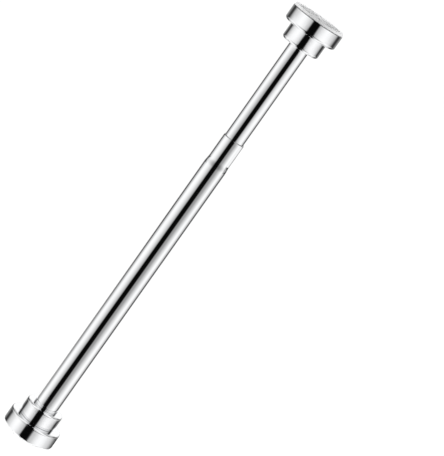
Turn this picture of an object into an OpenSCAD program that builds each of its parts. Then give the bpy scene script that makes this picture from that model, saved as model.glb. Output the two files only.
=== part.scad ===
// Telescoping tension bar: a thin tube slides out of a swaged tube and is screwed tight between two walls.
// The bar lies along X, and the origin is the centre of the outer end's contact face. Sizes are millimetres.

/* [Tubes] */
// Outside diameter of the outer tube
outer_od = 22; // [20:0.5:28]
// Radial gap between the inner tube and the outer tube's bore, which the neck closes
tube_gap = 0.8; // [0.5:0.1:2]
// Wall thickness of both tubes
tube_wall = 0.7; // [0.5:0.1:0.9]
// Length of the outer tube from its end plug to its mouth
outer_len = 307; // [260:0.5:400]
// Length of the inner tube from its end plug to its tail
inner_len = 226; // [190:1:240]
// Length of the inner tube that shows as drawn
inner_show = 98.7; // [70:0.1:150]
// Length of the straight neck at the outer tube's mouth
neck_len = 23; // [10:0.5:40]
// Length of the swaged taper behind the neck
taper_len = 7; // [3:0.5:15]
// Radial clearance of the inner tube in the neck and of the sliding pieces in the outer bore
slide_clear = 0.15; // [0.1:0.01:0.25]

/* [End cups] */
// Outside diameter of the large end cup
flange_od = 51; // [48:0.5:70]
// Height of the large end cup
flange_h = 14.2; // [12:0.1:20]
// Outside diameter of the small collar cup
collar_od = 36.4; // [33:0.2:40]
// Height of the small collar cup
collar_h = 14.8; // [12.4:0.2:24]
// Sheet thickness of the cups
cup_wall = 1.2; // [0.8:0.1:1.5]
// Outside radius of the drawn edges of the cups
cup_edge_r = 2; // [1.8:0.1:3]
// Height of the round step that locates the collar on the large cup
seat_h = 1.5; // [1:0.1:2.2]
// Height of the trim ring's two rolls over the outer tube
trim_h = 0.9; // [0.6:0.1:1.5]
// Length of the trim ring along the tube
trim_len = 2.6; // [1.6:0.1:4]

/* [Pads] */
// How far the pad stands out of the cup
pad_proud = 2; // [1.6:0.1:4]
// Depth of the pad inside the cup
pad_grip = 3.2; // [2:0.1:4.5]
// Set-back of the pad's head from the cup's outside
pad_inset = 0.5; // [0.2:0.1:1]
// Radius of the pad's outer edge
pad_edge_r = 1; // [0.5:0.1:1.2]
// Width of the plain rim round the tread
rim_w = 4.2; // [3:0.1:6]
// Depth of the tread
tread_h = 0.9; // [0.4:0.1:1.2]
// Width of one tread rib
rib_w = 1.7; // [1:0.1:2.2]
// Distance from one tread rib to the next
rib_pitch = 3.6; // [3:0.1:5]
// Diameter of the flat button in the middle of the tread
button_d = 6; // [5:0.5:9]
// Number of tread sectors
sectors = 8; // [4:2:12]
// Angle of the bare lane between two sectors
lane_deg = 9; // [5:1:14]

/* [Backing core] */
// Thickness of the core's plate behind the pad
core_plate = 2; // [1.5:0.1:3]
// Thickness of the core's ribs and walls
core_rib = 1.8; // [1.4:0.1:2.4]
// Number of radial ribs in the core
core_ribs = 8; // [5:1:12]

/* [End fastening] */
// Thickness of the end plugs' flanges
plug_flange_t = 5; // [3:0.1:5]
// Length of the end plugs inside the tubes
plug_len = 16; // [12:0.5:24]
// Diameter of the cap screws' threads
screw_d = 5; // [4:0.1:5.5]
// Length of the cap screws under the head
screw_len = 19; // [15:0.5:20]
// Diameter of the cap screws' heads
screw_head_d = 9.5; // [8.5:0.5:12]
// Height of the cap screws' heads
screw_head_h = 3.2; // [2.5:0.1:4]
// Diameter of the swivel screw's plain shoulder
shoulder_d = 6; // [5.8:0.1:7]
// Diameter of the washers under the screw heads
washer_od = 13; // [12.5:0.5:16]
// Thickness of the washers under the screw heads
washer_t = 1.1; // [0.8:0.1:1.5]
// Diameter of the thrust washer at the swivel
thrust_od = 24; // [18:0.5:26]
// Thickness of the thrust washer at the swivel
thrust_t = 1; // [0.6:0.1:1.4]
// Running gap on each side of the swivel's plate
run_gap = 0.1; // [0.06:0.01:0.2]
// Radial running clearance of the swivel's shoulder
pivot_clear = 0.08; // [0.04:0.01:0.1]
// Radial gap of pieces that are pressed or screwed together
fit_gap = 0.03; // [0.02:0.01:0.05]

/* [Spindle and brake] */
// Thickness of the tail plug's flange
tail_flange_t = 3; // [2:0.1:5]
// Length of the tail plug inside the inner tube
tail_len = 30; // [24:1:40]
// Diameter of the spindle
spindle_d = 8; // [6:0.5:9]
// Depth of the spindle in the tail plug
spindle_grip = 26; // [20:1:30]
// Travel of the brake along the spindle
screw_travel = 30; // [20:1:34]
// Diameter of the cross pin through the tail plug
pin_d = 3; // [2:0.5:4]
// Distance of the cross pin from the inner tube's tail
pin_inset = 10; // [6:0.5:14]
// Width across the flats of the spindle's stop nut
nut_flats = 13; // [12:0.5:15]
// Thickness of the spindle's stop nut
nut_t = 5; // [3:0.1:7]
// Gap between the tail plug and the brake as drawn
brake_gap = 0.8; // [0.5:0.1:2]
// Length of the split brake sleeve
sleeve_len = 20; // [16:1:26]
// Wall of the brake sleeve at its thin end
sleeve_wall = 1.6; // [1.2:0.1:2]
// Thickness of the brake sleeve's closed end
sleeve_end_t = 3; // [2:0.1:4]
// Width of the slots in the brake sleeve
slot_w = 1.6; // [1:0.1:2.4]
// Number of slots in the brake sleeve
slots = 4; // [3:1:6]
// Wall of the cone nut at its narrow end
cone_wall = 2; // [1.5:0.1:2.4]
// Length of the cone nut's grooved head
nut_head_len = 6; // [5:0.1:9]
// Gap between the cone nut's head and the brake sleeve
nut_head_gap = 0.6; // [0.4:0.1:1]
// Thickness of the rubber drag ring
ring_d = 2; // [1.6:0.1:2.4]
// Running clearance of the spindle in the cone nut
thread_clear = 0.08; // [0.04:0.01:0.1]

/* [Hidden] */
$fn = 96;
chrome = [0.78, 0.8, 0.82];
nylon = [0.86, 0.86, 0.82];
steel = [0.6, 0.62, 0.64];
soft_white = [0.93, 0.94, 0.94];
soft_black = [0.12, 0.12, 0.13];
cut = 1;

// Radii
outer_r = outer_od / 2;
outer_bore_r = outer_r - tube_wall;
inner_r = outer_bore_r - tube_gap;
inner_bore_r = inner_r - tube_wall;
neck_bore_r = inner_r + slide_clear;
flange_r = flange_od / 2;
collar_r = collar_od / 2;
collar_bore_r = collar_r - cup_wall;
seat_r = collar_bore_r - fit_gap;
cup_bore_r = flange_r - cup_wall;
pad_head_r = flange_r - pad_inset;
pad_body_r = cup_bore_r - fit_gap;
field_r = pad_head_r - rim_w;
plug_flange_r = collar_bore_r - 2 * slide_clear;
screw_r = screw_d / 2;
shoulder_r = shoulder_d / 2;
spindle_r = spindle_d / 2;
slider_r = outer_bore_r - slide_clear;
cone_small_r = spindle_r + cone_wall;
cone_big_r = slider_r - sleeve_wall;
recess_r = washer_od / 2 + 2;

// Heights measured inwards from an end's contact face
pad_back = pad_proud + pad_grip;
cup_back = pad_proud + flange_h;
cup_floor = cup_back - cup_wall;
seat_top = cup_back + seat_h;
seat_floor = seat_top - cup_wall;
cap_h = cup_back + collar_h;
swivel_top = seat_top + run_gap + thrust_t;
swivel_floor = seat_floor - run_gap;

// Places along the bar
outer_end = seat_top + plug_flange_t;
mouth = outer_end + outer_len;
neck_start = mouth - neck_len;
taper_start = neck_start - taper_len;
bar_len = mouth + inner_show + cap_h;
inner_end = bar_len - swivel_top - plug_flange_t;
tail = inner_end - inner_len;
tail_face = tail - tail_flange_t;
sleeve_front = tail_face - brake_gap;
sleeve_back = sleeve_front - sleeve_len;
nut_head_front = sleeve_back - nut_head_gap;
nut_head_back = nut_head_front - nut_head_len;
ring_place = (nut_head_front + nut_head_back) / 2;
stop_front = nut_head_back - screw_travel - brake_gap;
spindle_tip = stop_front - nut_t - brake_gap;

// Turns a profile drawn as radius and place along the bar about the bar's axis
module turned() {
    rotate([0, 90, 0])
        rotate_extrude()
            children();
}

// Places an end cap at the inner end, facing the other way
module at_inner_end() {
    translate([bar_len, 0, 0])
        mirror([1, 0, 0])
            children();
}

// Band of a profile between two radii and two places along the bar
module band(r0, r1, a0, a1) {
    translate([r0, a0])
        square([r1 - r0, a1 - a0]);
}

// Waste outside a rounded corner at radius r and place a, on the side that up points to
module corner_waste(r, a, radius, up = 1) {
    centre = [r - radius, a - up * radius];
    difference() {
        translate([centre[0], up > 0 ? centre[1] : a - cut])
            square([radius + cut, radius + cut]);
        translate(centre)
            circle(radius);
    }
}

// Large drawn cup with a raised step that the collar fits over
module flange_cup(hole_r) {
    turned()
        difference() {
            union() {
                band(0, flange_r, pad_proud, cup_back);
                band(0, seat_r, cup_back - cut, seat_top);
            }
            difference() {
                band(-cut, cup_bore_r, pad_proud - cut, cup_floor);
                corner_waste(cup_bore_r, cup_floor, cup_edge_r - cup_wall);
            }
            band(-cut, seat_r - cup_wall, cup_floor - cut, seat_floor);
            band(-cut, hole_r, seat_floor - cut, seat_top + cut);
            corner_waste(flange_r, cup_back, cup_edge_r);
        }
}

// Small drawn cup that covers the tube's end, with a hole for the tube
module collar_cup(hole_r) {
    turned()
        difference() {
            band(0, collar_r, cup_back, cap_h);
            difference() {
                band(-cut, collar_bore_r, cup_back - cut, cap_h - cup_wall);
                corner_waste(collar_bore_r, cap_h - cup_wall, cup_edge_r - cup_wall);
            }
            band(-cut, hole_r, cup_back, cap_h + cut);
            corner_waste(collar_r, cap_h, cup_edge_r);
        }
}

// One rib of the tread as a short arc
module tread_rib(radius, sweep) {
    rotate([0, 90, 0])
        rotate_extrude(angle = sweep)
            band(radius - rib_w / 2, radius + rib_w / 2, 0, 2 * tread_h);
}

// Soft pad with a plain rim, a sunk field and arc ribs that step from sector to sector
module tread_pad() {
    step = 360 / sectors;
    first = button_d / 2 + rib_pitch / 2 + rib_w / 2;
    turned()
        difference() {
            union() {
                band(0, pad_head_r, 0, pad_proud);
                band(0, pad_body_r, pad_proud - cut, pad_back);
            }
            band(button_d / 2, field_r, -cut, tread_h);
            corner_waste(pad_head_r, 0, pad_edge_r, -1);
        }
    for (s = [0:sectors - 1])
        for (radius = [first + (s % 2) * rib_pitch / 2:rib_pitch:field_r - rib_w])
            rotate([s * step + lane_deg / 2, 0, 0])
                tread_rib(radius, step - lane_deg);
}

// Ribbed core that carries the pad inside the cup
module backing_core() {
    core_r = cup_bore_r - fit_gap;
    turned()
        difference() {
            band(recess_r, core_r, pad_back, cup_floor);
            band(recess_r + core_rib, core_r - core_rib - cup_edge_r, pad_back + core_plate, cup_floor + cut);
            corner_waste(core_r, cup_floor, cup_edge_r);
        }
    for (i = [0:core_ribs - 1])
        rotate([i * 360 / core_ribs, 0, 0])
            translate([pad_back, -core_rib / 2, recess_r + core_rib / 2])
                cube([cup_floor - pad_back, core_rib, core_r - cup_edge_r - core_rib - recess_r]);
}

// Moulded plug with a flange that the tube's end butts on and a pilot hole for the cap screw
module end_plug(bore_r, flange_front, pilot_depth) {
    body_r = bore_r - fit_gap;
    body_end = flange_front + plug_flange_t + plug_len;
    turned()
        difference() {
            union() {
                band(0, plug_flange_r, flange_front, flange_front + plug_flange_t);
                band(0, body_r, flange_front + plug_flange_t - cut, body_end);
            }
            band(-cut, screw_r + fit_gap, flange_front - cut, flange_front + pilot_depth);
            corner_waste(body_r, body_end, tube_wall);
        }
}

// Pan head with a cross slot, its seat at place a and its crown towards the pad
module screw_head(a) {
    slot = screw_head_h / 4;
    difference() {
        turned()
            difference() {
                band(0, screw_head_d / 2, a - screw_head_h, a);
                corner_waste(screw_head_d / 2, a - screw_head_h, screw_head_h / 3, -1);
            }
        for (turn = [0, 90])
            rotate([turn, 0, 0])
                translate([a - screw_head_h - cut, -slot / 2, -screw_head_d / 4])
                    cube([screw_head_h / 2 + cut, slot, screw_head_d / 2]);
    }
}

module outer_tube() {
    steps = 8;
    drop = outer_bore_r - neck_bore_r;
    swage = [for (i = [0:steps]) [outer_bore_r - drop * (1 - cos(180 * i / steps)) / 2, i / steps]];
    taper = [for (p = swage) [p[0], taper_start + taper_len * p[1]]];
    inside = concat([[outer_bore_r, outer_end]], taper, [[neck_bore_r, mouth]]);
    outside = [for (i = [len(inside) - 1:-1:0]) [inside[i][0] + tube_wall, inside[i][1]]];
    color(chrome)
        turned()
            polygon(concat(inside, outside));
}

module outer_trim_ring() {
    roll_r = trim_len / 4;
    roll_centre_r = outer_r + trim_h - roll_r;
    color(chrome)
        turned()
            difference() {
                union() {
                    band(outer_r, roll_centre_r, cap_h, cap_h + trim_len);
                    for (a = [cap_h + roll_r, cap_h + trim_len - roll_r])
                        translate([roll_centre_r, a])
                            circle(roll_r);
                }
                band(-cut, outer_r + fit_gap, cap_h - cut, cap_h + trim_len + cut);
            }
}

module outer_end_plug() {
    color(nylon)
        end_plug(outer_bore_r, seat_top, screw_len - washer_t - cup_wall + cut);
}

module outer_collar() {
    color(chrome)
        collar_cup(outer_r + fit_gap);
}

module outer_flange() {
    color(chrome)
        flange_cup(screw_r + fit_gap);
}

module outer_core() {
    color(nylon)
        backing_core();
}

module outer_pad() {
    color(soft_white)
        tread_pad();
}

module outer_cap_screw() {
    head_seat = seat_floor - washer_t;
    color(steel) {
        screw_head(head_seat);
        turned()
            band(0, screw_r, head_seat - screw_head_h / 4, head_seat + screw_len);
    }
}

module outer_cap_washer() {
    color(steel)
        turned()
            band(screw_r + fit_gap, washer_od / 2, seat_floor - washer_t, seat_floor);
}

module inner_collar() {
    color(chrome)
        at_inner_end()
            collar_cup(inner_r + slide_clear);
}

module inner_flange() {
    color(chrome)
        at_inner_end()
            flange_cup(shoulder_r + pivot_clear);
}

module inner_core() {
    color(nylon)
        at_inner_end()
            backing_core();
}

module inner_pad() {
    color(soft_white)
        at_inner_end()
            tread_pad();
}

module inner_tube() {
    color(chrome)
        turned()
            band(inner_bore_r, inner_r, tail, inner_end);
}

module inner_end_plug() {
    shoulder_len = swivel_top - swivel_floor + washer_t;
    color(nylon)
        at_inner_end()
            end_plug(inner_bore_r, swivel_top, screw_len - shoulder_len + cut);
}

module thrust_washer() {
    color(soft_black)
        at_inner_end()
            turned()
                band(shoulder_r + fit_gap, thrust_od / 2, seat_top + run_gap, swivel_top);
}

module swivel_screw() {
    head_seat = swivel_floor - washer_t;
    color(steel)
        at_inner_end() {
            screw_head(head_seat);
            turned() {
                band(0, shoulder_r, head_seat - screw_head_h / 4, swivel_top);
                band(0, screw_r, swivel_top - cut, head_seat + screw_len);
            }
        }
}

module swivel_washer() {
    color(steel)
        at_inner_end()
            turned()
                band(shoulder_r + fit_gap, washer_od / 2, swivel_floor - washer_t, swivel_floor);
}

module tail_plug() {
    body_r = inner_bore_r - fit_gap;
    color(nylon)
        difference() {
            turned()
                difference() {
                    union() {
                        band(0, slider_r, tail_face, tail);
                        band(0, body_r, tail - cut, tail + tail_len);
                    }
                    band(-cut, spindle_r + fit_gap, tail_face - cut, tail_face + spindle_grip + cut);
                    corner_waste(body_r, tail + tail_len, tube_wall);
                }
            translate([tail + pin_inset, 0, 0])
                cylinder(r = pin_d / 2 + fit_gap, h = outer_od, center = true);
        }
}

module spindle() {
    color(steel)
        difference() {
            turned()
                difference() {
                    band(0, spindle_r, spindle_tip, tail_face + spindle_grip);
                    corner_waste(spindle_r, spindle_tip, tube_wall, -1);
                }
            translate([tail + pin_inset, 0, 0])
                cylinder(r = pin_d / 2 + fit_gap, h = outer_od, center = true);
        }
}

module spindle_pin() {
    color(steel)
        translate([tail + pin_inset, 0, 0])
            cylinder(d = pin_d, h = 2 * (inner_bore_r - slide_clear) - tube_wall, center = true);
}

module spindle_stop_nut() {
    color(steel)
        difference() {
            translate([stop_front - nut_t, 0, 0])
                rotate([0, 90, 0])
                    cylinder(d = nut_flats / cos(30), h = nut_t, $fn = 6);
            turned()
                band(0, spindle_r + fit_gap, stop_front - nut_t - cut, stop_front + cut);
        }
}

module brake_nut() {
    cone_front = sleeve_front - sleeve_end_t - nut_head_gap;
    head_r = outer_bore_r - ring_d / 4;
    groove_floor = slider_r - ring_d - fit_gap;
    groove_half = ring_d / 2 + fit_gap;
    color(nylon)
        turned()
            difference() {
                union() {
                    polygon([[0, nut_head_front - cut], [cone_big_r, nut_head_front - cut],
                             [cone_big_r, sleeve_back], [cone_small_r, cone_front], [0, cone_front]]);
                    band(0, head_r, nut_head_back, nut_head_front);
                }
                band(groove_floor, outer_r, ring_place - groove_half, ring_place + groove_half);
                band(-cut, spindle_r + thread_clear, nut_head_back - cut, cone_front + cut);
            }
}

module brake_sleeve() {
    cone_front = sleeve_front - sleeve_end_t;
    big_r = cone_big_r + fit_gap;
    small_r = cone_small_r + fit_gap;
    color(nylon)
        difference() {
            turned()
                difference() {
                    band(0, slider_r, sleeve_back, sleeve_front);
                    polygon([[-cut, sleeve_back], [big_r, sleeve_back], [small_r, cone_front - nut_head_gap],
                             [small_r, cone_front], [-cut, cone_front]]);
                    band(-cut, spindle_r + slide_clear, cone_front - cut, sleeve_front + cut);
                }
            for (i = [0:slots - 1])
                rotate([i * 360 / slots, 0, 0])
                    translate([sleeve_back - cut, -slot_w / 2, 0])
                        cube([sleeve_len - sleeve_end_t + cut, slot_w, outer_r]);
        }
}

module brake_drag_ring() {
    color(soft_black)
        turned()
            translate([slider_r - ring_d / 2, ring_place])
                circle(d = ring_d);
}

outer_tube();
outer_trim_ring();
outer_end_plug();
outer_collar();
outer_flange();
outer_core();
outer_pad();
outer_cap_screw();
outer_cap_washer();
brake_nut();
brake_sleeve();
brake_drag_ring();
inner_collar();
inner_flange();
inner_core();
inner_pad();
inner_tube();
inner_end_plug();
thrust_washer();
swivel_screw();
swivel_washer();
tail_plug();
spindle();
spindle_pin();
spindle_stop_nut();
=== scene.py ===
import bmesh
import bpy
import math
from types import SimpleNamespace

from mathutils import Matrix, Vector


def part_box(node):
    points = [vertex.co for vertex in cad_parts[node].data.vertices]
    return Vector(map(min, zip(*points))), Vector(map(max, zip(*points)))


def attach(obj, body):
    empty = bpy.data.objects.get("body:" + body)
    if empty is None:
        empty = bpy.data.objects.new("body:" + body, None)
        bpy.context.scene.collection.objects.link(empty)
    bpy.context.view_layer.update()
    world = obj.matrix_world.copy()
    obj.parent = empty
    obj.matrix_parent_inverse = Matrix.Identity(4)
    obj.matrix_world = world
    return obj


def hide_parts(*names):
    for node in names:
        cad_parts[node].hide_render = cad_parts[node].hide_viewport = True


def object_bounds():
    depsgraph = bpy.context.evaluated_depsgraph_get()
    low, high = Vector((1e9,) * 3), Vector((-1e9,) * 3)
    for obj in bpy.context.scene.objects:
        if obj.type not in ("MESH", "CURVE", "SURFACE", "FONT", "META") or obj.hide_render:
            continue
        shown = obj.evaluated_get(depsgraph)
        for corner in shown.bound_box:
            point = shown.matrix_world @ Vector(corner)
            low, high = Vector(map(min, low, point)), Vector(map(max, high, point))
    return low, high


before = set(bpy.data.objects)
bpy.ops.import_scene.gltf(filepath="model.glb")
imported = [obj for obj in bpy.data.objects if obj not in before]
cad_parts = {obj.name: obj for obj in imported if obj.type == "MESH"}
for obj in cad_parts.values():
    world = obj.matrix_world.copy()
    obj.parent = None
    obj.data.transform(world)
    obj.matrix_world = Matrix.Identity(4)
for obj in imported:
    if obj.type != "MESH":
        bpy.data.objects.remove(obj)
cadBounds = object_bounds()
mm = 0.001
slack = 0.02 * mm   # how far a vertex may lie from where it belongs
tiny = 0.001 * mm   # less than any modelled step
scene = bpy.context.scene
scene.view_settings.view_transform = "Standard"
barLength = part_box("inner_pad")[1].x   # contact face to contact face
print("frame loaded, bar length", round(barLength, 4))


# small tools for working by hand in edit mode
def deselectAll():
    if bpy.context.object and bpy.context.object.mode != "OBJECT":
        bpy.ops.object.mode_set(mode="OBJECT")
    bpy.ops.object.select_all(action="DESELECT")


def startEdit(piece):
    deselectAll()
    bpy.context.view_layer.objects.active = piece
    piece.select_set(True)
    bpy.ops.object.mode_set(mode="EDIT")
    bpy.ops.mesh.select_mode(type="EDGE")


def pickEdges(piece, wanted):
    bpy.ops.mesh.select_mode(type="EDGE")
    bpy.ops.mesh.select_all(action="DESELECT")
    mesh = bmesh.from_edit_mesh(piece.data)
    for edge in mesh.edges:
        if wanted(edge):
            edge.select_set(True)
    bmesh.update_edit_mesh(piece.data)


def pickFaces(piece, wanted):
    bpy.ops.mesh.select_mode(type="FACE")
    bpy.ops.mesh.select_all(action="DESELECT")
    mesh = bmesh.from_edit_mesh(piece.data)
    for face in mesh.faces:
        if wanted(face):
            face.select_set(True)
    bmesh.update_edit_mesh(piece.data)


def onRing(x, radius):
    def wanted(edge):
        return all(
            abs(v.co.x - x) < slack and abs(math.hypot(v.co.y, v.co.z) - radius) < slack
            for v in edge.verts
        )
    return wanted


# each rounded corner lies between two more rings, which hold its walls straight
turnSpec = {"holdShare": 1.35, "wallShare": 0.45, "weld": 0.002 * mm}


def stepTowards(start, end, distance):
    gap = Vector((end[0] - start[0], end[1] - start[1]))
    reach = min(distance, gap.length * turnSpec["wallShare"])
    return start[0] + gap.x / gap.length * reach, start[1] + gap.y / gap.length * reach


# Turns an outline of (place along the bar, radius, rounding) into a closed piece:
# a circle is extruded ring by ring, the last ring is merged, and the corners are bevelled.
def turnPiece(name, outline, sides=144, hollow=True, roundSteps=8, smoothAngle=40, creases=()):
    rings = []
    count = len(outline)
    for i, (x, radius, soft) in enumerate(outline):
        hold = soft * turnSpec["holdShare"]
        if soft and (hollow or i > 0):
            rings.append(stepTowards((x, radius), outline[i - 1], hold))
        rings.append((x, radius))
        if soft and (hollow or i < count - 1):
            rings.append(stepTowards((x, radius), outline[(i + 1) % count], hold))
    deselectAll()
    bpy.ops.mesh.primitive_circle_add(
        vertices=sides, radius=rings[0][1],
        location=(rings[0][0], 0, 0), rotation=(0, math.pi / 2, 0),
    )
    piece = bpy.context.object
    piece.name = piece.data.name = name
    bpy.ops.object.transform_apply(location=True, rotation=True, scale=True)
    startEdit(piece)
    bpy.ops.mesh.select_all(action="SELECT")
    path = rings + rings[:1] if hollow else rings
    for (x0, r0), (x1, r1) in zip(path, path[1:]):
        bpy.ops.mesh.extrude_region_move(TRANSFORM_OT_translate={"value": (x1 - x0, 0, 0)})
        bpy.ops.transform.resize(value=(1, r1 / r0, r1 / r0), center_override=(x1, 0, 0))
    bpy.ops.mesh.select_all(action="SELECT")
    bpy.ops.mesh.remove_doubles(threshold=turnSpec["weld"])
    if not hollow:
        for x, radius in (rings[0], rings[-1]):   # cap both ends
            pickEdges(piece, onRing(x, radius))
            bpy.ops.mesh.edge_face_add()
    bpy.ops.mesh.select_all(action="SELECT")
    bpy.ops.mesh.normals_make_consistent(inside=False)
    for x, radius, soft in outline:
        if soft:
            pickEdges(piece, onRing(x, radius))
            bpy.ops.mesh.bevel(
                offset=soft, segments=roundSteps, profile=0.5, affect="EDGES", clamp_overlap=False,
            )
    for x, radius in creases:   # the line where a drawn edge leaves its straight wall
        pickEdges(piece, onRing(x, radius))
        bpy.ops.mesh.mark_sharp()
    bpy.ops.object.mode_set(mode="OBJECT")
    bpy.ops.object.shade_smooth_by_angle(angle=math.radians(smoothAngle), keep_sharp_edges=True)
    return piece


# paints shade along a closed edge: a value on the rings near it, which the finish mixes in as near-black
# painted shade
def paintSeamShade(piece, x, width, leastRadius, value=1.0):
    paintedShade = piece.data.attributes.get("paintedShade") or piece.data.attributes.new("paintedShade", "FLOAT", "POINT")
    for i, v in enumerate(piece.data.vertices):
        if abs(v.co.x - x) < width + slack and math.hypot(v.co.y, v.co.z) > leastRadius:
            paintedShade.data[i].value = value


def standFor(piece, node, body, material):
    piece.data.materials.clear()
    piece.data.materials.append(material)
    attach(piece, body)
    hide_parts(node)


# node helpers
def addNode(tree, kind, place, settings=None, values=None):
    node = tree.nodes.new(kind)
    node.location = place
    for key, value in (settings or {}).items():
        setattr(node, key, value)
    for key, value in (values or {}).items():
        node.inputs[key].default_value = value
    return node


def newGroup(name, inputs, outputs):
    group = bpy.data.node_groups.new(name, "ShaderNodeTree")
    for label, kind, value in inputs:
        socket = group.interface.new_socket(name=label, in_out="INPUT", socket_type=kind)
        if value is not None:
            socket.default_value = value
    for label, kind in outputs:
        group.interface.new_socket(name=label, in_out="OUTPUT", socket_type=kind)
    entry = addNode(group, "NodeGroupInput", (-900, 0))
    leave = addNode(group, "NodeGroupOutput", (700, 0))
    return group, entry, leave


def newMaterial(name):
    material = bpy.data.materials.new(name)
    material.use_nodes = True
    tree = material.node_tree
    shader = tree.nodes["Principled BSDF"]
    coords = addNode(tree, "ShaderNodeTexCoord", (-1100, 0))
    mapping = addNode(tree, "ShaderNodeMapping", (-920, 0))
    tree.links.new(coords.outputs["Object"], mapping.inputs["Vector"])
    return material, tree, shader, mapping


# drawn and polished plate: soft handling smudges and very fine lines along the bar
def makePlatedGroup():
    group, entry, leave = newGroup(
        "platedSurface",
        [
            ("Vector", "NodeSocketVector", None),
            ("Smudge Size", "NodeSocketFloat", 45.0),
            ("Line Stretch", "NodeSocketFloat", 0.01),
            ("Low Roughness", "NodeSocketFloat", 0.03),
            ("High Roughness", "NodeSocketFloat", 0.08),
        ],
        [("Roughness", "NodeSocketFloat"), ("Height", "NodeSocketFloat"), ("Tint", "NodeSocketFloat")],
    )
    links = group.links
    smudge = addNode(group, "ShaderNodeTexNoise", (-600, 250), values={"Detail": 4.0, "Roughness": 0.55})
    links.new(entry.outputs["Vector"], smudge.inputs["Vector"])
    links.new(entry.outputs["Smudge Size"], smudge.inputs["Scale"])
    stretch = addNode(group, "ShaderNodeCombineXYZ", (-750, -150), values={"Y": 1.0, "Z": 1.0})
    links.new(entry.outputs["Line Stretch"], stretch.inputs["X"])
    squeeze = addNode(group, "ShaderNodeVectorMath", (-600, -150), {"operation": "MULTIPLY"})
    links.new(entry.outputs["Vector"], squeeze.inputs[0])
    links.new(stretch.outputs["Vector"], squeeze.inputs[1])
    lines = addNode(group, "ShaderNodeTexNoise", (-420, -150), values={"Scale": 2600.0, "Detail": 2.0})
    links.new(squeeze.outputs["Vector"], lines.inputs["Vector"])
    spread = addNode(group, "ShaderNodeMapRange", (-380, 250), {"interpolation_type": "SMOOTHSTEP"},
                     {"From Min": 0.35, "From Max": 0.72})
    links.new(smudge.outputs["Fac"], spread.inputs["Value"])
    links.new(entry.outputs["Low Roughness"], spread.inputs["To Min"])
    links.new(entry.outputs["High Roughness"], spread.inputs["To Max"])
    links.new(spread.outputs["Result"], leave.inputs["Roughness"])
    links.new(lines.outputs["Fac"], leave.inputs["Height"])
    links.new(smudge.outputs["Fac"], leave.inputs["Tint"])
    return group


# moulded plastic and rubber: fine spark grain, a slow flow mottle and a little roughness change
def makeMouldedGroup():
    group, entry, leave = newGroup(
        "mouldedSurface",
        [
            ("Vector", "NodeSocketVector", None),
            ("Grain Scale", "NodeSocketFloat", 3500.0),
            ("Mottle Scale", "NodeSocketFloat", 120.0),
            ("Low Roughness", "NodeSocketFloat", 0.4),
            ("High Roughness", "NodeSocketFloat", 0.55),
        ],
        [("Roughness", "NodeSocketFloat"), ("Height", "NodeSocketFloat"), ("Mottle", "NodeSocketFloat")],
    )
    links = group.links
    grain = addNode(group, "ShaderNodeTexNoise", (-600, -150), values={"Detail": 3.0, "Roughness": 0.6})
    links.new(entry.outputs["Vector"], grain.inputs["Vector"])
    links.new(entry.outputs["Grain Scale"], grain.inputs["Scale"])
    mottle = addNode(group, "ShaderNodeTexNoise", (-600, 250), values={"Detail": 5.0, "Distortion": 0.6})
    links.new(entry.outputs["Vector"], mottle.inputs["Vector"])
    links.new(entry.outputs["Mottle Scale"], mottle.inputs["Scale"])
    spread = addNode(group, "ShaderNodeMapRange", (-380, 80), values={"From Min": 0.3, "From Max": 0.7})
    links.new(grain.outputs["Fac"], spread.inputs["Value"])
    links.new(entry.outputs["Low Roughness"], spread.inputs["To Min"])
    links.new(entry.outputs["High Roughness"], spread.inputs["To Max"])
    links.new(spread.outputs["Result"], leave.inputs["Roughness"])
    links.new(grain.outputs["Fac"], leave.inputs["Height"])
    links.new(mottle.outputs["Fac"], leave.inputs["Mottle"])
    return group


# turned steel: close rings round the bar's axis, broken by a little noise
def makeTurnedGroup():
    group, entry, leave = newGroup(
        "turnedSurface",
        [
            ("Vector", "NodeSocketVector", None),
            ("Ring Scale", "NodeSocketFloat", 900.0),
            ("Low Roughness", "NodeSocketFloat", 0.25),
            ("High Roughness", "NodeSocketFloat", 0.42),
        ],
        [("Roughness", "NodeSocketFloat"), ("Height", "NodeSocketFloat"), ("Stain", "NodeSocketFloat")],
    )
    links = group.links
    rings = addNode(group, "ShaderNodeTexWave", (-600, -150), {"bands_direction": "X"},
                    {"Distortion": 1.5, "Detail": 2.0, "Detail Scale": 2.0})
    links.new(entry.outputs["Vector"], rings.inputs["Vector"])
    links.new(entry.outputs["Ring Scale"], rings.inputs["Scale"])
    stain = addNode(group, "ShaderNodeTexNoise", (-600, 250), values={"Scale": 160.0, "Detail": 5.0})
    links.new(entry.outputs["Vector"], stain.inputs["Vector"])
    spread = addNode(group, "ShaderNodeMapRange", (-380, 80), values={"From Min": 0.3, "From Max": 0.75})
    links.new(stain.outputs["Fac"], spread.inputs["Value"])
    links.new(entry.outputs["Low Roughness"], spread.inputs["To Min"])
    links.new(entry.outputs["High Roughness"], spread.inputs["To Max"])
    links.new(spread.outputs["Result"], leave.inputs["Roughness"])
    links.new(rings.outputs["Fac"], leave.inputs["Height"])
    links.new(stain.outputs["Fac"], leave.inputs["Stain"])
    return group


platedGroup = makePlatedGroup()
mouldedGroup = makeMouldedGroup()
turnedGroup = makeTurnedGroup()


# how strongly the painted shade shows, and the near-black tone it paints
finishSpec = {"toneStops": (0.3, 0.7), "paintedShadeShare": 0.7, "paintedShadeTone": (0.05, 0.05, 0.055, 1)}


# mixes painted shade into the colour: a near-black, weighted by the attribute that the modelling writes on
# edges, joints and the tread's grooves
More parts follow.
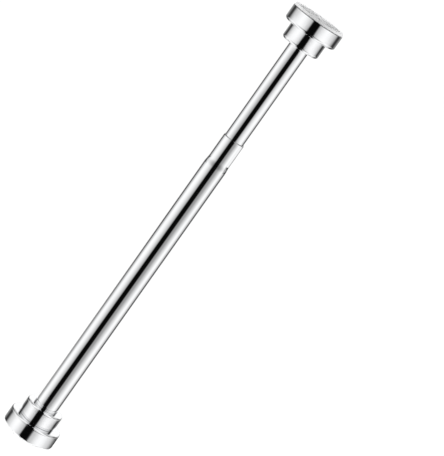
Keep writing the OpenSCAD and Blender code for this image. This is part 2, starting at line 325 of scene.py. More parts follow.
def mixPaintedShade(tree, tone):
    paintedShade = addNode(tree, "ShaderNodeAttribute", (-440, 480), {"attribute_name": "paintedShade"})
    share = addNode(tree, "ShaderNodeMath", (-260, 480), {"operation": "MULTIPLY"})
    share.inputs[1].default_value = finishSpec["paintedShadeShare"]
    tree.links.new(paintedShade.outputs["Fac"], share.inputs[0])
    mix = addNode(tree, "ShaderNodeMix", (-120, 300), {"data_type": "RGBA"})   # colours: 6 and 7 in, 2 out
    mix.inputs[7].default_value = finishSpec["paintedShadeTone"]
    tree.links.new(share.outputs["Value"], mix.inputs[0])
    tree.links.new(tone.outputs["Color"], mix.inputs[6])
    return mix.outputs[2]


# One finish from a group: its mask mixes two colours, its roughness and height go to the shader.
def makeFinish(name, group, values, mask, colours, bump, shaderValues, withPaintedShade=False):
    material, tree, shader, mapping = newMaterial(name)
    effect = addNode(tree, "ShaderNodeGroup", (-680, 0), {"node_tree": group}, values)
    tree.links.new(mapping.outputs["Vector"], effect.inputs["Vector"])
    tone = addNode(tree, "ShaderNodeValToRGB", (-440, 200))
    for stop, position, colour in zip(tone.color_ramp.elements, finishSpec["toneStops"], colours):
        stop.position = position
        stop.color = (*colour, 1)
    tree.links.new(effect.outputs[mask], tone.inputs["Fac"])
    relief = addNode(tree, "ShaderNodeBump", (-300, -250))
    relief.inputs["Strength"].default_value, relief.inputs["Distance"].default_value = bump
    tree.links.new(effect.outputs["Height"], relief.inputs["Height"])
    # finishes that have painted shade take their colour through the near-black mix
    colour = mixPaintedShade(tree, tone) if withPaintedShade else tone.outputs["Color"]
    tree.links.new(colour, shader.inputs["Base Color"])
    tree.links.new(effect.outputs["Roughness"], shader.inputs["Roughness"])
    tree.links.new(relief.outputs["Normal"], shader.inputs["Normal"])
    for key, value in shaderValues.items():
        shader.inputs[key].default_value = value
    return material


chromeTones = ((0.80, 0.805, 0.815), (0.84, 0.845, 0.85))
chromeTube = makeFinish(
    "chromeTube", platedGroup,
    {"Smudge Size": 42.0, "Line Stretch": 0.004, "Low Roughness": 0.012, "High Roughness": 0.035},
    "Tint", chromeTones, (0.05, 0.02 * mm), {"Metallic": 1.0}, withPaintedShade=True,
)
chromeCup = makeFinish(
    "chromeCup", platedGroup,
    {"Smudge Size": 70.0, "Line Stretch": 6.0, "Low Roughness": 0.02, "High Roughness": 0.045},
    "Tint", chromeTones, (0.03, 0.02 * mm), {"Metallic": 1.0}, withPaintedShade=True,
)
padWhite = makeFinish(
    "padWhite", mouldedGroup,
    {"Grain Scale": 2600.0, "Mottle Scale": 140.0, "Low Roughness": 0.36, "High Roughness": 0.52},
    "Mottle", ((0.82, 0.825, 0.83), (0.88, 0.883, 0.885)), (0.25, 0.05 * mm), {}, withPaintedShade=True,
)
coreNylon = makeFinish(
    "coreNylon", mouldedGroup,
    {"Grain Scale": 1800.0, "Mottle Scale": 90.0, "Low Roughness": 0.4, "High Roughness": 0.55},
    "Mottle", ((0.72, 0.71, 0.66), (0.80, 0.79, 0.74)), (0.2, 0.05 * mm), {},
)
brakeNylon = makeFinish(
    "brakeNylon", mouldedGroup,
    {"Grain Scale": 1800.0, "Mottle Scale": 150.0, "Low Roughness": 0.38, "High Roughness": 0.5},
    "Mottle", ((0.74, 0.735, 0.69), (0.82, 0.81, 0.76)), (0.2, 0.05 * mm), {},
)
washerAcetal = makeFinish(
    "washerAcetal", mouldedGroup,
    {"Grain Scale": 2400.0, "Mottle Scale": 200.0, "Low Roughness": 0.3, "High Roughness": 0.42},
    "Mottle", ((0.018, 0.018, 0.02), (0.035, 0.035, 0.037)), (0.15, 0.03 * mm), {},
)
dragRubber = makeFinish(
    "dragRubber", mouldedGroup,
    {"Grain Scale": 3000.0, "Mottle Scale": 260.0, "Low Roughness": 0.6, "High Roughness": 0.8},
    "Mottle", ((0.015, 0.015, 0.016), (0.032, 0.032, 0.033)), (0.3, 0.05 * mm), {},
)
screwSteel = makeFinish(
    "screwSteel", turnedGroup, {"Ring Scale": 500.0, "Low Roughness": 0.25, "High Roughness": 0.4},
    "Stain", ((0.55, 0.56, 0.57), (0.66, 0.67, 0.67)), (0.15, 0.03 * mm), {"Metallic": 1.0},
)
spindleSteel = makeFinish(
    "spindleSteel", turnedGroup, {"Ring Scale": 800.0, "Low Roughness": 0.28, "High Roughness": 0.45},
    "Stain", ((0.46, 0.46, 0.45), (0.58, 0.58, 0.57)), (0.2, 0.04 * mm), {"Metallic": 1.0},
)
print("finishes made")


# outer tube: long straight wall, swaged down to a neck that guides the inner tube
outerTubeSpec = {
    "wall": 0.7 * mm, "neckLength": 23.0 * mm, "neckRadius": 10.35 * mm,
    "taperLength": 7.0 * mm, "taperSteps": 14, "coneShare": 0.7,   # the rest of the taper is a soft curve
    "mouthEdge": 0.55 * mm, "mouthShade": 0.5,
}


def makeOuterTube():
    spec = outerTubeSpec
    low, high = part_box("outer_tube")
    radius = high.z
    neckStart = high.x - spec["neckLength"]
    taperStart = neckStart - spec["taperLength"]
    drop = radius - spec["neckRadius"]
    swage = []
    for i in range(spec["taperSteps"] + 1):
        share = i / spec["taperSteps"]
        curve = (1 - math.cos(math.pi * share)) / 2
        fall = drop * (spec["coneShare"] * share + (1 - spec["coneShare"]) * curve)
        swage.append((taperStart + spec["taperLength"] * share, radius - fall, 0))
    outside = [(low.x, radius, 0), *swage, (high.x, spec["neckRadius"], spec["mouthEdge"])]
    inside = [(x, r - spec["wall"], 0) for x, r, _ in reversed(outside)]
    creases = [(taperStart, radius), (neckStart, spec["neckRadius"])]
    piece = turnPiece("outerTubeShell", outside + inside, sides=128, roundSteps=4, creases=creases)
    # painted shade along the mouth's lip, where the inner tube goes in
    paintSeamShade(piece, high.x, spec["mouthEdge"], spec["neckRadius"] - spec["wall"] / 2, spec["mouthShade"])
    standFor(piece, "outer_tube", "outer", chromeTube)


innerTubeSpec = {"wall": 0.7 * mm, "endEdge": 0.15 * mm}


def makeInnerTube():
    spec = innerTubeSpec
    low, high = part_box("inner_tube")
    bore = high.z - spec["wall"]
    outline = [
        (low.x, high.z, spec["endEdge"]), (high.x, high.z, spec["endEdge"]),
        (high.x, bore, 0), (low.x, bore, 0),
    ]
    piece = turnPiece("innerTubeShell", outline, sides=128, roundSteps=3)
    standFor(piece, "inner_tube", "inner", chromeTube)


# two low rolls that close the collar's hole round the outer tube
trimSpec = {"boreRadius": 11.03 * mm, "rolls": 2, "arcSteps": 10, "arcDegrees": 12}


def makeTrimRing():
    spec = trimSpec
    low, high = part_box("outer_trim_ring")
    half = (high.x - low.x) / spec["rolls"] / 2
    reach = math.radians(spec["arcDegrees"])
    roll = half / math.sin(reach)
    outline = [(low.x, spec["boreRadius"], 0)]
    for i in range(spec["rolls"]):
        middle = low.x + half * (2 * i + 1)
        for step in range(spec["arcSteps"] + 1):
            turn = reach * (2 * step / spec["arcSteps"] - 1)
            place = (middle + roll * math.sin(turn), high.z - roll * (1 - math.cos(turn)), 0)
            if place[0] - outline[-1][0] > tiny or place[1] - outline[-1][1] > tiny:
                outline.append(place)
    outline.append((high.x, spec["boreRadius"], 0))
    piece = turnPiece("trimRingRolls", outline, sides=128, smoothAngle=50)
    standFor(piece, "outer_trim_ring", "outer", chromeCup)


# drawn cups: each end is measured from its own contact face
def endPlace(isInner):
    return (lambda x: barLength - x) if isInner else (lambda x: x)


collarSpec = {
    "wall": 1.2 * mm, "drawnEdge": 2.0 * mm, "insideEdge": 0.8 * mm, "footEdge": 0.2 * mm,
    "holeEdge": 0.3 * mm, "outerHole": 11.03 * mm, "innerHole": 9.65 * mm, "sides": 160,
}


def makeCollar(isInner):
    spec = collarSpec
    node = "inner_collar" if isInner else "outer_collar"
    low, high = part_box(node)
    place = endPlace(isInner)
    foot, top = sorted((place(low.x), place(high.x)))
    radius = high.z
    hole = spec["innerHole"] if isInner else spec["outerHole"]
    bore = radius - spec["wall"]
    outline = [
        (foot, radius, spec["footEdge"]), (top, radius, spec["drawnEdge"]),
        (top, hole, spec["holeEdge"]), (top - spec["wall"], hole, 0),
        (top - spec["wall"], bore, spec["insideEdge"]), (foot, bore, 0),
    ]
    outline = [(place(x), r, soft) for x, r, soft in outline]
    creases = [] if isInner else [(top - spec["drawnEdge"], radius)]
    name = "innerCollarCup" if isInner else "outerCollarCup"
    piece = turnPiece(name, outline, sides=spec["sides"], creases=creases)
    # painted shade where the collar's foot meets the flange
    paintSeamShade(piece, place(foot), spec["footEdge"], bore)
    standFor(piece, node, "inner_cap" if isInner else "outer", chromeCup)


flangeSpec = {
    "wall": 1.2 * mm, "drawnEdge": 2.0 * mm, "insideEdge": 0.8 * mm, "rimEdge": 0.55 * mm,
    "seatRadius": 16.97 * mm, "seatHeight": 1.5 * mm, "seatEdge": 0.3 * mm,
    "outerHole": 2.53 * mm, "innerHole": 3.08 * mm, "sides": 160,
}


def makeFlange(isInner):
    spec = flangeSpec
    node = "inner_flange" if isInner else "outer_flange"
    low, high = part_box(node)
    place = endPlace(isInner)
    rim, seatTop = sorted((place(low.x), place(high.x)))
    radius, wall = high.z, spec["wall"]
    back = seatTop - spec["seatHeight"]
    hole = spec["innerHole"] if isInner else spec["outerHole"]
    outline = [
        (rim, radius, spec["rimEdge"]), (back, radius, spec["drawnEdge"]),
        (back, spec["seatRadius"], 0), (seatTop, spec["seatRadius"], spec["seatEdge"]),
        (seatTop, hole, 0), (seatTop - wall, hole, 0),
        (seatTop - wall, spec["seatRadius"] - wall, 0), (back - wall, spec["seatRadius"] - wall, 0),
        (back - wall, radius - wall, spec["insideEdge"]), (rim, radius - wall, 0),
    ]
    outline = [(place(x), r, soft) for x, r, soft in outline]
    creases = [] if isInner else [(back - spec["drawnEdge"], radius)]
    name = "innerFlangeCup" if isInner else "outerFlangeCup"
    piece = turnPiece(name, outline, sides=spec["sides"], creases=creases)
    # painted shade along the inner flange's rim beside the pad; the outer flange's rim is left plain
    if isInner:
        paintSeamShade(piece, place(rim), spec["rimEdge"], radius - wall)
    standFor(piece, node, "inner_cap" if isInner else "outer", chromeCup)


# soft pad: plain rim, sunk field, and arc ribs that step half a pitch from sector to sector
padSpec = {
    "proud": 2.0 * mm, "bodyRadius": 24.27 * mm, "rimWidth": 4.2 * mm, "rimEdge": 0.5 * mm,
    "lipEdge": 0.15 * mm, "fieldEdge": 0.35 * mm, "treadDepth": 0.9 * mm,
    "buttonRadius": 3.0 * mm, "buttonMiddle": 0.9 * mm,
    "ribWidth": 1.7 * mm, "ribPitch": 3.6 * mm, "ribEdge": 0.35 * mm, "sectors": 8, "laneDegrees": 9,
    # the last two: painted shade on the tread's tops and in its grooves
    "sides": 160, "treadShade": 0.08, "grooveShade": 0.45,
}


def planRibs(fieldRadius):
    spec = padSpec
    firstRib = spec["buttonRadius"] + spec["ribPitch"] / 2 + spec["ribWidth"] / 2
    ribs = []   # (sector parity, radius)
    for parity in (0, 1):
        radius = firstRib + parity * spec["ribPitch"] / 2
        while radius < fieldRadius - spec["ribWidth"] + tiny:
            ribs.append((parity, radius))
            radius += spec["ribPitch"]
    return ribs


def raiseRibs(piece, ribs):
    spec = padSpec
    depth, half = spec["treadDepth"], spec["ribWidth"] / 2
    step, gap = 360 / spec["sectors"], spec["laneDegrees"]

    def onRib(face):
        centre = face.calc_center_median()
        if abs(centre.x - depth) > slack or face.normal.x > -0.9:   # only the floor of the field
            return False
        radius = math.hypot(centre.y, centre.z)
        turn = math.degrees(math.atan2(centre.y, -centre.z)) % 360
        sector = int(turn // step)
        if not gap / 2 < turn - sector * step < step - gap / 2:
            return False
        return any(parity == sector % 2 and abs(radius - r) < half for parity, r in ribs)

    startEdit(piece)
    pickFaces(piece, onRib)
    bpy.ops.mesh.extrude_region_move(TRANSFORM_OT_translate={"value": (-depth, 0, 0)})
    bpy.ops.mesh.region_to_loop()   # top edges of every rib
    bpy.ops.mesh.bevel(offset=spec["ribEdge"], segments=3, profile=0.5, affect="EDGES", clamp_overlap=True)
    bpy.ops.object.mode_set(mode="OBJECT")
    bpy.ops.object.shade_smooth_by_angle(angle=math.radians(40))


# painted shade in the sunk tread, darkest in its grooves
def shadeTread(piece, fieldRadius):
    spec = padSpec
    paintedShade = piece.data.attributes.new("paintedShade", "FLOAT", "POINT")
    for i, v in enumerate(piece.data.vertices):
        radius = math.hypot(v.co.y, v.co.z)
        if v.co.x < spec["treadDepth"] + slack and spec["buttonRadius"] < radius < fieldRadius:
            sunk = v.co.x / spec["treadDepth"]
            paintedShade.data[i].value = spec["treadShade"] + (spec["grooveShade"] - spec["treadShade"]) * sunk


def mirrorPiece(piece, name):
    deselectAll()
    piece.select_set(True)
    bpy.context.view_layer.objects.active = piece
    bpy.ops.object.duplicate()
    copy = bpy.context.object
    copy.name = copy.data.name = name
    startEdit(copy)
    bpy.ops.mesh.select_all(action="SELECT")
    bpy.ops.transform.resize(value=(-1, 1, 1), center_override=(barLength / 2, 0, 0))
    bpy.ops.mesh.normals_make_consistent(inside=False)
    bpy.ops.object.mode_set(mode="OBJECT")
    return copy


def makePads():
    spec = padSpec
    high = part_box("outer_pad")[1]
    headRadius = high.z
    fieldRadius = headRadius - spec["rimWidth"]
    depth, button, half = spec["treadDepth"], spec["buttonRadius"], spec["ribWidth"] / 2
    ribs = planRibs(fieldRadius)
    ribWalls = sorted(radius + side for _, radius in ribs for side in (-half, half))
    outline = [
        (0, spec["buttonMiddle"], 0), (0, button, spec["fieldEdge"]), (depth, button, 0),
        *((depth, radius, 0) for radius in ribWalls),
        (depth, fieldRadius, 0), (0, fieldRadius, spec["fieldEdge"]), (0, headRadius, spec["rimEdge"]),
        (spec["proud"], headRadius, spec["lipEdge"]), (spec["proud"], spec["bodyRadius"], 0),
        (high.x, spec["bodyRadius"], 0),
    ]
    piece = turnPiece("outerPadTread", outline, sides=spec["sides"], hollow=False, roundSteps=5)
    raiseRibs(piece, ribs)
    shadeTread(piece, fieldRadius)
    copy = mirrorPiece(piece, "innerPadTread")
    standFor(piece, "outer_pad", "outer", padWhite)
    standFor(copy, "inner_pad", "inner_cap", padWhite)


makeOuterTube()
makeInnerTube()
makeTrimRing()
for isInner in (False, True):
    makeCollar(isInner)
    makeFlange(isInner)
makePads()
print("tubes, cups and pads modelled")

# the hidden works keep their CAD shapes
nodeFinish = {
    "outer_end_plug": coreNylon, "inner_end_plug": coreNylon, "tail_plug": coreNylon,
    "outer_core": coreNylon, "inner_core": coreNylon,
    "outer_cap_screw": screwSteel, "outer_cap_washer": screwSteel,
    "swivel_screw": screwSteel, "swivel_washer": screwSteel, "thrust_washer": washerAcetal,
    "brake_nut": brakeNylon, "brake_sleeve": brakeNylon, "brake_drag_ring": dragRubber,
    "spindle": spindleSteel, "spindle_pin": screwSteel, "spindle_stop_nut": screwSteel,
}
for name, material in nodeFinish.items():
    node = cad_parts[name]
    for slot in node.material_slots:
        slot.material = material
print("inner works finished")


# table: pale, keeps a light shadow, and plain white to the camera
floorSpec = {
    "size": 14.0, "gap": 0.2 * mm, "paint": (0.9, 0.91), "mottle": 3.0, "roughness": 0.9,
    "shadowShare": 0.2, "glow": 1.13,
}


def makeFloor():
    spec = floorSpec
    deselectAll()
    bpy.ops.mesh.primitive_plane_add(
        size=spec["size"], location=(barLength / 2, 0, cadBounds[0][2] - spec["gap"]),
    )
    floor = bpy.context.object
    floor.name = floor.data.name = "tableTop"
    bpy.ops.object.transform_apply(location=True, rotation=True, scale=True)
    material, tree, shader, mapping = newMaterial("tablePaint")
    mottle = addNode(tree, "ShaderNodeTexNoise", (-680, 0), values={"Scale": spec["mottle"], "Detail": 2.0})
    tree.links.new(mapping.outputs["Vector"], mottle.inputs["Vector"])
    tone = addNode(tree, "ShaderNodeValToRGB", (-440, 0))
    for stop, paint in zip(tone.color_ramp.elements, spec["paint"]):
        stop.color = (paint, paint, paint, 1)
    tree.links.new(mottle.outputs["Fac"], tone.inputs["Fac"])
    tree.links.new(tone.outputs["Color"], shader.inputs["Base Color"])
    shader.inputs["Roughness"].default_value = spec["roughness"]
    shader.inputs["Specular IOR Level"].default_value = 0.0
    glow = addNode(tree, "ShaderNodeEmission", (0, -300), values={"Strength": spec["glow"]})
    path = addNode(tree, "ShaderNodeLightPath", (-440, -400))
    share = addNode(tree, "ShaderNodeMath", (-200, -400), {"operation": "MULTIPLY"})
    share.inputs[1].default_value = 1 - spec["shadowShare"]
    mix = addNode(tree, "ShaderNodeMixShader", (260, 0))
    tree.links.new(path.outputs["Is Camera Ray"], share.inputs[0])
    tree.links.new(share.outputs["Value"], mix.inputs["Fac"])
    tree.links.new(shader.outputs["BSDF"], mix.inputs[1])
    tree.links.new(glow.outputs["Emission"], mix.inputs[2])
    tree.links.new(mix.outputs["Shader"], tree.nodes["Material Output"].inputs["Surface"])
    floor.data.materials.append(material)
    floor.visible_glossy = False


# the photograph's frame: the bar leans to the right, its far end a little towards the lens
shotSpec = {
    "frame": (444, 456), "focalPixels": 2035.3, "distance": 1.8, "leanDegrees": 35.2, "tilt": 0.216,
    "middlePixel": (169.91, 230.92), "sensor": 36.0, "clipEnd": 60.0,
}


# studio round the bar: white cards with a dark slot above that lies a little askew, and a grey table side;
# places are along the bar, and each table goes from degrees off the slot to a light or to other degrees
farSpread = [
    (38, 27), (48, 35.5), (58, 42), (70, 50), (80, 55), (88, 60), (97, 75), (102, 82), (111, 97),
    (118, 106), (127, 116), (133, 119), (140, 137), (180, 180),
]
studioSpec = {
    "ambient": 0.36, "cardGain": 1.22,
    "edge": 0.0007,   # half the width of a border between pieces, and the step of the next three
    "faceEdge": (1, 16), "backEdge": (-16, -40), "fadeEdge": 2,
    "wallHeight": 8.0 * mm,   # over the bar's axis, where the walls face the lens
    "tube": (29.6 * mm, 428.4 * mm), "mouth": 329.9 * mm, "neckStart": 304.5 * mm,
    "rim": (442.8 * mm, 465.0 * mm), "footRim": (-20.0 * mm, 14.8 * mm),
    "lowCup": 22.0 * mm, "swagePlace": 303.2 * mm, "highCup": 436.0 * mm,   # where turned corners lie
    # the slot's turn on each piece
    "tubeSkew": (-11.3, 4.6), "lowCupSkew": -4.3, "highCupSkew": 2.6, "swageSkew": -0.7,
    "skewFade": (40.0, 110.0), "sideTurn": 3.0,
    "card": [
        (0, 0.002), (14.5, 0.003), (17, 0.07), (19.5, 0.36), (22, 0.52), (27, 0.60), (35, 0.75), (43, 0.88),
        (50, 0.96), (58, 1.0), (66, 0.96), (76, 0.89), (86, 0.75), (98, 0.63), (106, 0.50), (112, 0.33),
        (117, 0.13), (121, 0.045), (128, 0.03), (134, 0.05), (140, 0.12), (148, 0.22), (160, 0.33),
        (180, 0.36),
    ],
    # the tubes and the rims see the same cards over another angle than the cups
    "outerSpread": [(0, 0), (16, 14.2), (21.5, 18.2), (28, 20.8), *farSpread],
    "innerSpread": [(0, 0), (17.5, 14.2), (23.5, 18.2), (30, 21.2), *farSpread],
    "rimSpread": [(0, 0), (14, 16.5), (20, 22), (35, 36), (60, 60), (180, 180)],
    "footSpread": [
        (0, 0), (14.5, 14.5), (20.8, 18.4), (25, 21.9), (35, 28), (44, 36), (53, 45.5), (67, 58.5),
        (76, 66), (86, 77), (91, 82), (103, 92), (117, 103), (125, 109), (134, 114.5), (146, 118),
        (180, 122),
    ],
    # grey beside the slot, and a dull band on the swage
    "greyLoss": [
        (0, 0), (17, 0), (28, 0.34), (37, 0.45), (47, 0.39), (57, 0.28), (67, 0.18), (78, 0.03), (90, 0),
    ],
    "outerGrey": 1.0, "innerGrey": 0.42, "swageDip": (0.02, 0.14, 0.58), "swageEnd": (0.20, 0.28),
    # pale edges low beside the neck, the swage and the outer tube's foot
    "edgeAngle": (96, 108), "swageLight": 0.4,
    "neckCard": [(0, 1), (110, 0.95), (132, 0.85), (148, 0.32), (180, 0.25)],
    "footLight": (250.0 * mm, 33.6 * mm, 0.34), "footEnd": (36.4 * mm, 35.2 * mm),
    # white towards the cups' rims, and on corners that turn to the ends
    "midFade": (22, 34, 88, 106), "backWhite": (-6, -26), "highFadeShare": 0.8,
    "highFades": ((450.5 * mm, 443.2 * mm), (435.5 * mm, 428.4 * mm)),
    "faceSlot": (13, 22), "faceOn": (78, 84), "faceWhite": (40, 55), "cornerWhite": 0.97,
    # direction along the bar, its band, and the table seen low in it
    "endTurn": (78, 84),
    "endTables": [
        (1, (0.45, 0.55, 0.82, 0.92), [
            (0, 1), (82, 1), (88, 0.7), (93, 0.12), (99, 0.08), (104, 0.25), (112, 0.42), (125, 0.52),
            (150, 0.6), (180, 0.62),
        ]),
        (-1, (0.58, 0.64, 0.82, 0.92), [
            (0, 1), (82, 1), (88, 0.75), (93, 0.15), (98, 0.12), (102, 0.5), (110, 0.62), (130, 0.68),
            (180, 0.7),
        ]),
    ],
}
world = bpy.data.worlds.new("studio")
scene.world = world
world.use_nodes = True
skyTree = world.node_tree
skyTree.nodes.clear()


# maths nodes in the sky's tree, for numbers and sockets alike
def give(socket, value):
    if isinstance(value, bpy.types.NodeSocket):
        skyTree.links.new(value, socket)
    else:
        socket.default_value = value


def calc(operation, *values):
    node = addNode(skyTree, "ShaderNodeMath", (-900, 0), {"operation": operation})
    for socket, value in zip(node.inputs, values):
        give(socket, value)
    return node.outputs["Value"]


def product(*values):
    total = values[0]
    for value in values[1:]:
        total = calc("MULTIPLY", total, value)
    return total


def ease(value, low, high, start=0.0, end=1.0, kind="SMOOTHSTEP"):
    if low > high:
        low, high, start, end = high, low, end, start
    node = addNode(skyTree, "ShaderNodeMapRange", (-700, 0), {"interpolation_type": kind}, {
        "From Min": low, "From Max": high, "To Min": start, "To Max": end,
    })
    give(node.inputs["Value"], value)
    return node.outputs["Result"]


def stops(value, table, scale=1.0):
    node = addNode(skyTree, "ShaderNodeValToRGB", (-500, 0))
    elements = node.color_ramp.elements
    elements.remove(elements[1])
    for i, (degrees, level) in enumerate(table):
        stop = elements[0] if i == 0 else elements.new(degrees / 180)
        stop.position = degrees / 180
        stop.color = (level / scale,) * 3 + (1,)
    give(node.inputs["Fac"], value)
    return node.outputs["Color"]


def between(value, low, high):
    edge = studioSpec["edge"]
    return product(ease(value, low - edge, low + edge), ease(value, high + edge, high - edge))


def blend(share, first, second):
    return calc("ADD", product(first, calc("SUBTRACT", 1.0, share)), product(second, share))


def degreesOf(rise, run):
    return product(calc("ARCTAN2", rise, run), 180 / math.pi)


# the direction along the bar that a straight wall at this place shows to the lens
def lane(x):
    tilt, distance = shotSpec["tilt"], shotSpec["distance"]
    gap = barLength / 2 + math.sin(tilt) * distance - x
    return -gap / math.hypot(gap, math.cos(tilt) * distance - studioSpec["wallHeight"])


def lanes(places):
    return [lane(x) for x in places]


# halfway to the lens: twice the turn, and the slope, of the metal at this place that shows a direction
def facingAt(look, x):
    halfAlong = calc("ADD", look.along, -lane(x))
    halfHeight = calc("ADD", look.height, math.sqrt(1 - lane(x) ** 2))
    across = calc("SQRT", calc("ADD", product(look.aside, look.aside), product(halfHeight, halfHeight)))
    return product(degreesOf(look.aside, halfHeight), 2.0), degreesOf(halfAlong, across)


# which piece shows a direction: straight walls lie in lanes, turned corners beyond the lanes' ends
def markPieces(look):
    spec = studioSpec
    first, look.last = lanes((0, barLength))
    look.low, look.high = lanes(spec["tube"])
    look.mouth = lane(spec["mouth"])
    look.face = ease(look.along, *(look.last + spec["edge"] * steps for steps in spec["faceEdge"]))
    look.back = ease(look.along, *(first + spec["edge"] * steps for steps in spec["backEdge"]))
    look.tube = between(look.along, look.low, look.high)
    full, gone = spec["swageEnd"]
    look.swage = product(look.face, ease(look.along, gone + look.last, full + look.last))


# how far a direction lies round from the slot, in degrees and as a share of half a turn
def measureTurn(look):
    spec = studioSpec
    edge, along = spec["edge"], look.along
    skew = ease(along, look.low, look.high, *spec["tubeSkew"], kind="LINEAR")
    skew = blend(ease(along, look.low - edge, look.low + edge), spec["lowCupSkew"], skew)
    skew = blend(ease(along, look.high - edge, look.high + edge), skew, spec["highCupSkew"])
    skew = blend(look.face, skew, blend(look.swage, spec["lowCupSkew"], spec["swageSkew"]))
    skew = blend(look.back, skew, spec["highCupSkew"])
    faceTurn, look.faceSlope = facingAt(look, spec["lowCup"])
    backTurn, look.backSlope = facingAt(look, spec["highCup"])
    faceTurn = blend(look.swage, faceTurn, facingAt(look, spec["swagePlace"])[0])
    look.plainTurn = degreesOf(look.aside, look.height)
    turn = blend(look.back, blend(look.face, look.plainTurn, faceTurn), backTurn)
    skewShare = ease(calc("ABSOLUTE", turn), *spec["skewFade"], 1.0, 0.0)
    look.turn = calc("SUBTRACT", turn, product(skew, skewShare))
    look.share = calc("DIVIDE", calc("ABSOLUTE", look.turn), 180.0)
    look.rightSide = ease(look.turn, -spec["sideTurn"], spec["sideTurn"])
    look.leftSide = calc("SUBTRACT", 1.0, look.rightSide)


def spreadCards(look):
    spec = studioSpec
    edge, along, share = spec["edge"], look.along, look.share
    outer = stops(share, spec["outerSpread"], 180.0)
    inner = stops(share, spec["innerSpread"], 180.0)
    spread = blend(ease(along, look.mouth + edge, look.mouth - edge), inner, outer)
    spread = blend(look.swage, blend(look.tube, share, spread), outer)
    rim = between(along, *lanes(spec["rim"]))
    spread = blend(rim, spread, stops(share, spec["rimSpread"], 180.0))
    footRim = product(between(along, *lanes(spec["footRim"])), look.rightSide)
    return blend(footRim, spread, stops(share, spec["footSpread"], 180.0))


# share of the light that the grey beside the slot and the swage's dull band leave
def keptLight(look):
    spec = studioSpec
    along = look.along
    outerTube = calc("MAXIMUM", between(along, look.low, look.mouth), look.swage)
    innerTube = between(along, look.mouth, look.high)
    grey = product(outerTube, look.rightSide, spec["outerGrey"])
    grey = calc("ADD", grey, product(innerTube, look.leftSide, spec["innerGrey"]))
    kept = calc("SUBTRACT", 1.0, product(stops(look.share, spec["greyLoss"]), grey))
    dipStart, dipEnd, dip = spec["swageDip"]
    dull = ease(along, look.last + dipStart, look.last + dipEnd, 1.0, dip)
    return product(kept, blend(look.swage, 1.0, dull))


def paleEdges(look, light):
    spec = studioSpec
    along = look.along
    rightEdge = ease(look.turn, *spec["edgeAngle"])
    leftEdge = ease(look.turn, *(-angle for angle in spec["edgeAngle"]))
    neck = between(along, lane(spec["neckStart"]), look.mouth)
    light = blend(product(neck, rightEdge), light, stops(look.share, spec["neckCard"]))
    light = blend(product(look.swage, rightEdge), light, spec["swageLight"])
    start, full, footLight = spec["footLight"]
    foot = product(look.tube, ease(along, lane(start), lane(full)), leftEdge)
    foot = product(foot, ease(along, *lanes(spec["footEnd"]), 1.0, 0.0))
    return blend(foot, light, calc("MAXIMUM", light, footLight))


def whiteCorners(look, light):
    spec = studioSpec
    along, share = look.along, look.share
    fade = [degrees / 180 for degrees in spec["midFade"]]
    middle = product(ease(share, *fade[:2]), ease(share, fade[3], fade[2]))
    toRim = product(look.back, ease(look.backSlope, *spec["backWhite"]))
    for start, end in map(lanes, spec["highFades"]):
        part = product(ease(along, start, end), ease(along, end - spec["edge"] * spec["fadeEdge"], end))
        toRim = calc("MAXIMUM", toRim, product(part, spec["highFadeShare"]))
    light = blend(product(middle, toRim), light, 1.0)
    besideSlot = ease(share, *(degrees / 180 for degrees in spec["faceSlot"]))
    besideSlot = calc("MAXIMUM", besideSlot, ease(look.faceSlope, *spec["faceOn"]))
    corner = product(look.face, ease(look.faceSlope, *spec["faceWhite"]), besideSlot)
    return blend(corner, light, spec["cornerWhite"])


# far edge of the table and the table itself, low beyond both ends of the bar
def tableBeyondEnds(look, light):
    spec = studioSpec
    turn = calc("ABSOLUTE", look.plainTurn)
    lowDown = ease(turn, *spec["endTurn"])
    for sign, (start, full, fadeStart, end), table in spec["endTables"]:
        reach = product(look.along, sign)
        part = product(ease(reach, start, full), ease(reach, end, fadeStart), lowDown)
        light = blend(part, light, stops(calc("DIVIDE", turn, 180.0), table))
    return light


def makeStudio():
    spec = studioSpec
    coords = addNode(skyTree, "ShaderNodeTexCoord", (-1400, 0))
    split = addNode(skyTree, "ShaderNodeSeparateXYZ", (-1200, 0))
    skyTree.links.new(coords.outputs["Generated"], split.inputs["Vector"])
    look = SimpleNamespace(along=split.outputs["X"], height=split.outputs["Z"])
    look.aside = product(split.outputs["Y"], -1.0)
    markPieces(look)
    measureTurn(look)
    light = product(stops(spreadCards(look), spec["card"]), keptLight(look))
    light = paleEdges(look, light)
    light = whiteCorners(look, light)
    light = tableBeyondEnds(look, light)
    # only mirrored rays see the cards: the lens sees white, and the rest is an even light
    path = addNode(skyTree, "ShaderNodeLightPath", (-640, 400))
    mirrored = calc("MAXIMUM", path.outputs["Is Glossy Ray"], path.outputs["Is Transmission Ray"])
    level = blend(mirrored, spec["ambient"], product(light, spec["cardGain"]))
    level = blend(path.outputs["Is Camera Ray"], level, 1.0)
    sky = addNode(skyTree, "ShaderNodeBackground", (200, 0), values={"Color": (1, 1, 1, 1)})
    skyTree.links.new(level, sky.inputs["Strength"])
    out = addNode(skyTree, "ShaderNodeOutputWorld", (440, 0))
    skyTree.links.new(sky.outputs["Background"], out.inputs["Surface"])


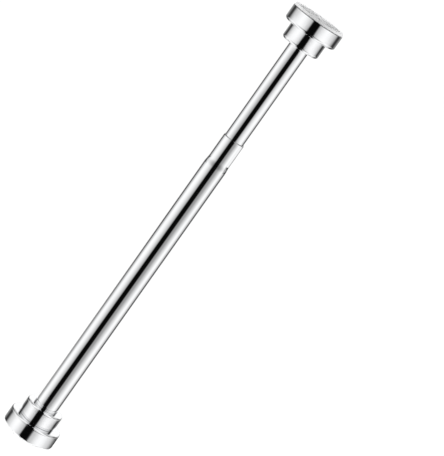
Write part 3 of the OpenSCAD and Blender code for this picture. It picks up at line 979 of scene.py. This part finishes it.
lampSpec = {   # place, aim along the bar, size, watts
    "leftBox": ((0.25, 1.6, 0.22), barLength / 2, 0.4, 15.0),
    "rightBox": ((0.25, -1.6, 0.22), barLength / 2, 0.4, 15.0),
    "padFill": ((2.6, -0.3, 0.3), barLength, 0.5, 6.5),
    "footFill": ((-0.25, 0.0, 0.5), 0.0, 0.3, 2.2),
}
padSpot = {   # the edge of its beam falls over the far pad, so the pad pales towards the table
    "place": (2.6, -0.1, 0.22), "aim": (barLength, 0.0, -0.088), "coneDegrees": 6.0, "blend": 1.0,
    "soft": 0.04, "watts": 140.0,
}


def hangLamp(data, place, target):
    lamp = bpy.data.objects.new(data.name, data)
    scene.collection.objects.link(lamp)
    lamp.location = place
    lamp.rotation_euler = (Vector(target) - Vector(place)).to_track_quat("-Z", "Y").to_euler()
    lamp.visible_camera = lamp.visible_glossy = False


def makeLamps():
    for name, (place, target, size, watts) in lampSpec.items():
        data = bpy.data.lights.new(name, "AREA")
        data.shape = "SQUARE"
        data.size = size
        data.energy = watts
        hangLamp(data, place, (target, 0, 0))
    spec = padSpot
    data = bpy.data.lights.new("padSpot", "SPOT")
    data.spot_size = math.radians(spec["coneDegrees"])
    data.spot_blend = spec["blend"]
    data.shadow_soft_size = spec["soft"]
    data.energy = spec["watts"]
    hangLamp(data, spec["place"], spec["aim"])


def placeCamera():
    spec = shotSpec
    width, height = spec["frame"]
    focal = spec["focalPixels"]
    middle = Vector((barLength / 2, 0, 0))
    towards = Vector((math.sin(spec["tilt"]), 0, math.cos(spec["tilt"])))
    along = Vector((1, 0, 0))
    along = (along - towards * along.dot(towards)).normalized()
    across = along.cross(towards)
    lean = math.radians(spec["leanDegrees"])
    right = along * math.sin(lean) + across * math.cos(lean)
    up = along * math.cos(lean) - across * math.sin(lean)
    offRight = (spec["middlePixel"][0] - width / 2) / focal
    offUp = (height / 2 - spec["middlePixel"][1]) / focal
    forward = (-towards - right * offRight - up * offUp).normalized()
    right = (right - forward * right.dot(forward)).normalized()
    up = right.cross(forward)
    data = bpy.data.cameras.new("shot")
    data.sensor_width = spec["sensor"]
    data.lens = spec["sensor"] * focal / max(width, height)
    data.clip_end = spec["clipEnd"]
    camera = bpy.data.objects.new("shot", data)
    scene.collection.objects.link(camera)
    turn = Matrix((right, up, -forward)).transposed().to_4x4()
    camera.matrix_world = Matrix.Translation(middle + towards * spec["distance"]) @ turn
    scene.camera = camera


makeFloor()
makeStudio()
makeLamps()
placeCamera()
print("table, studio, lamps and camera set")

deselectAll()
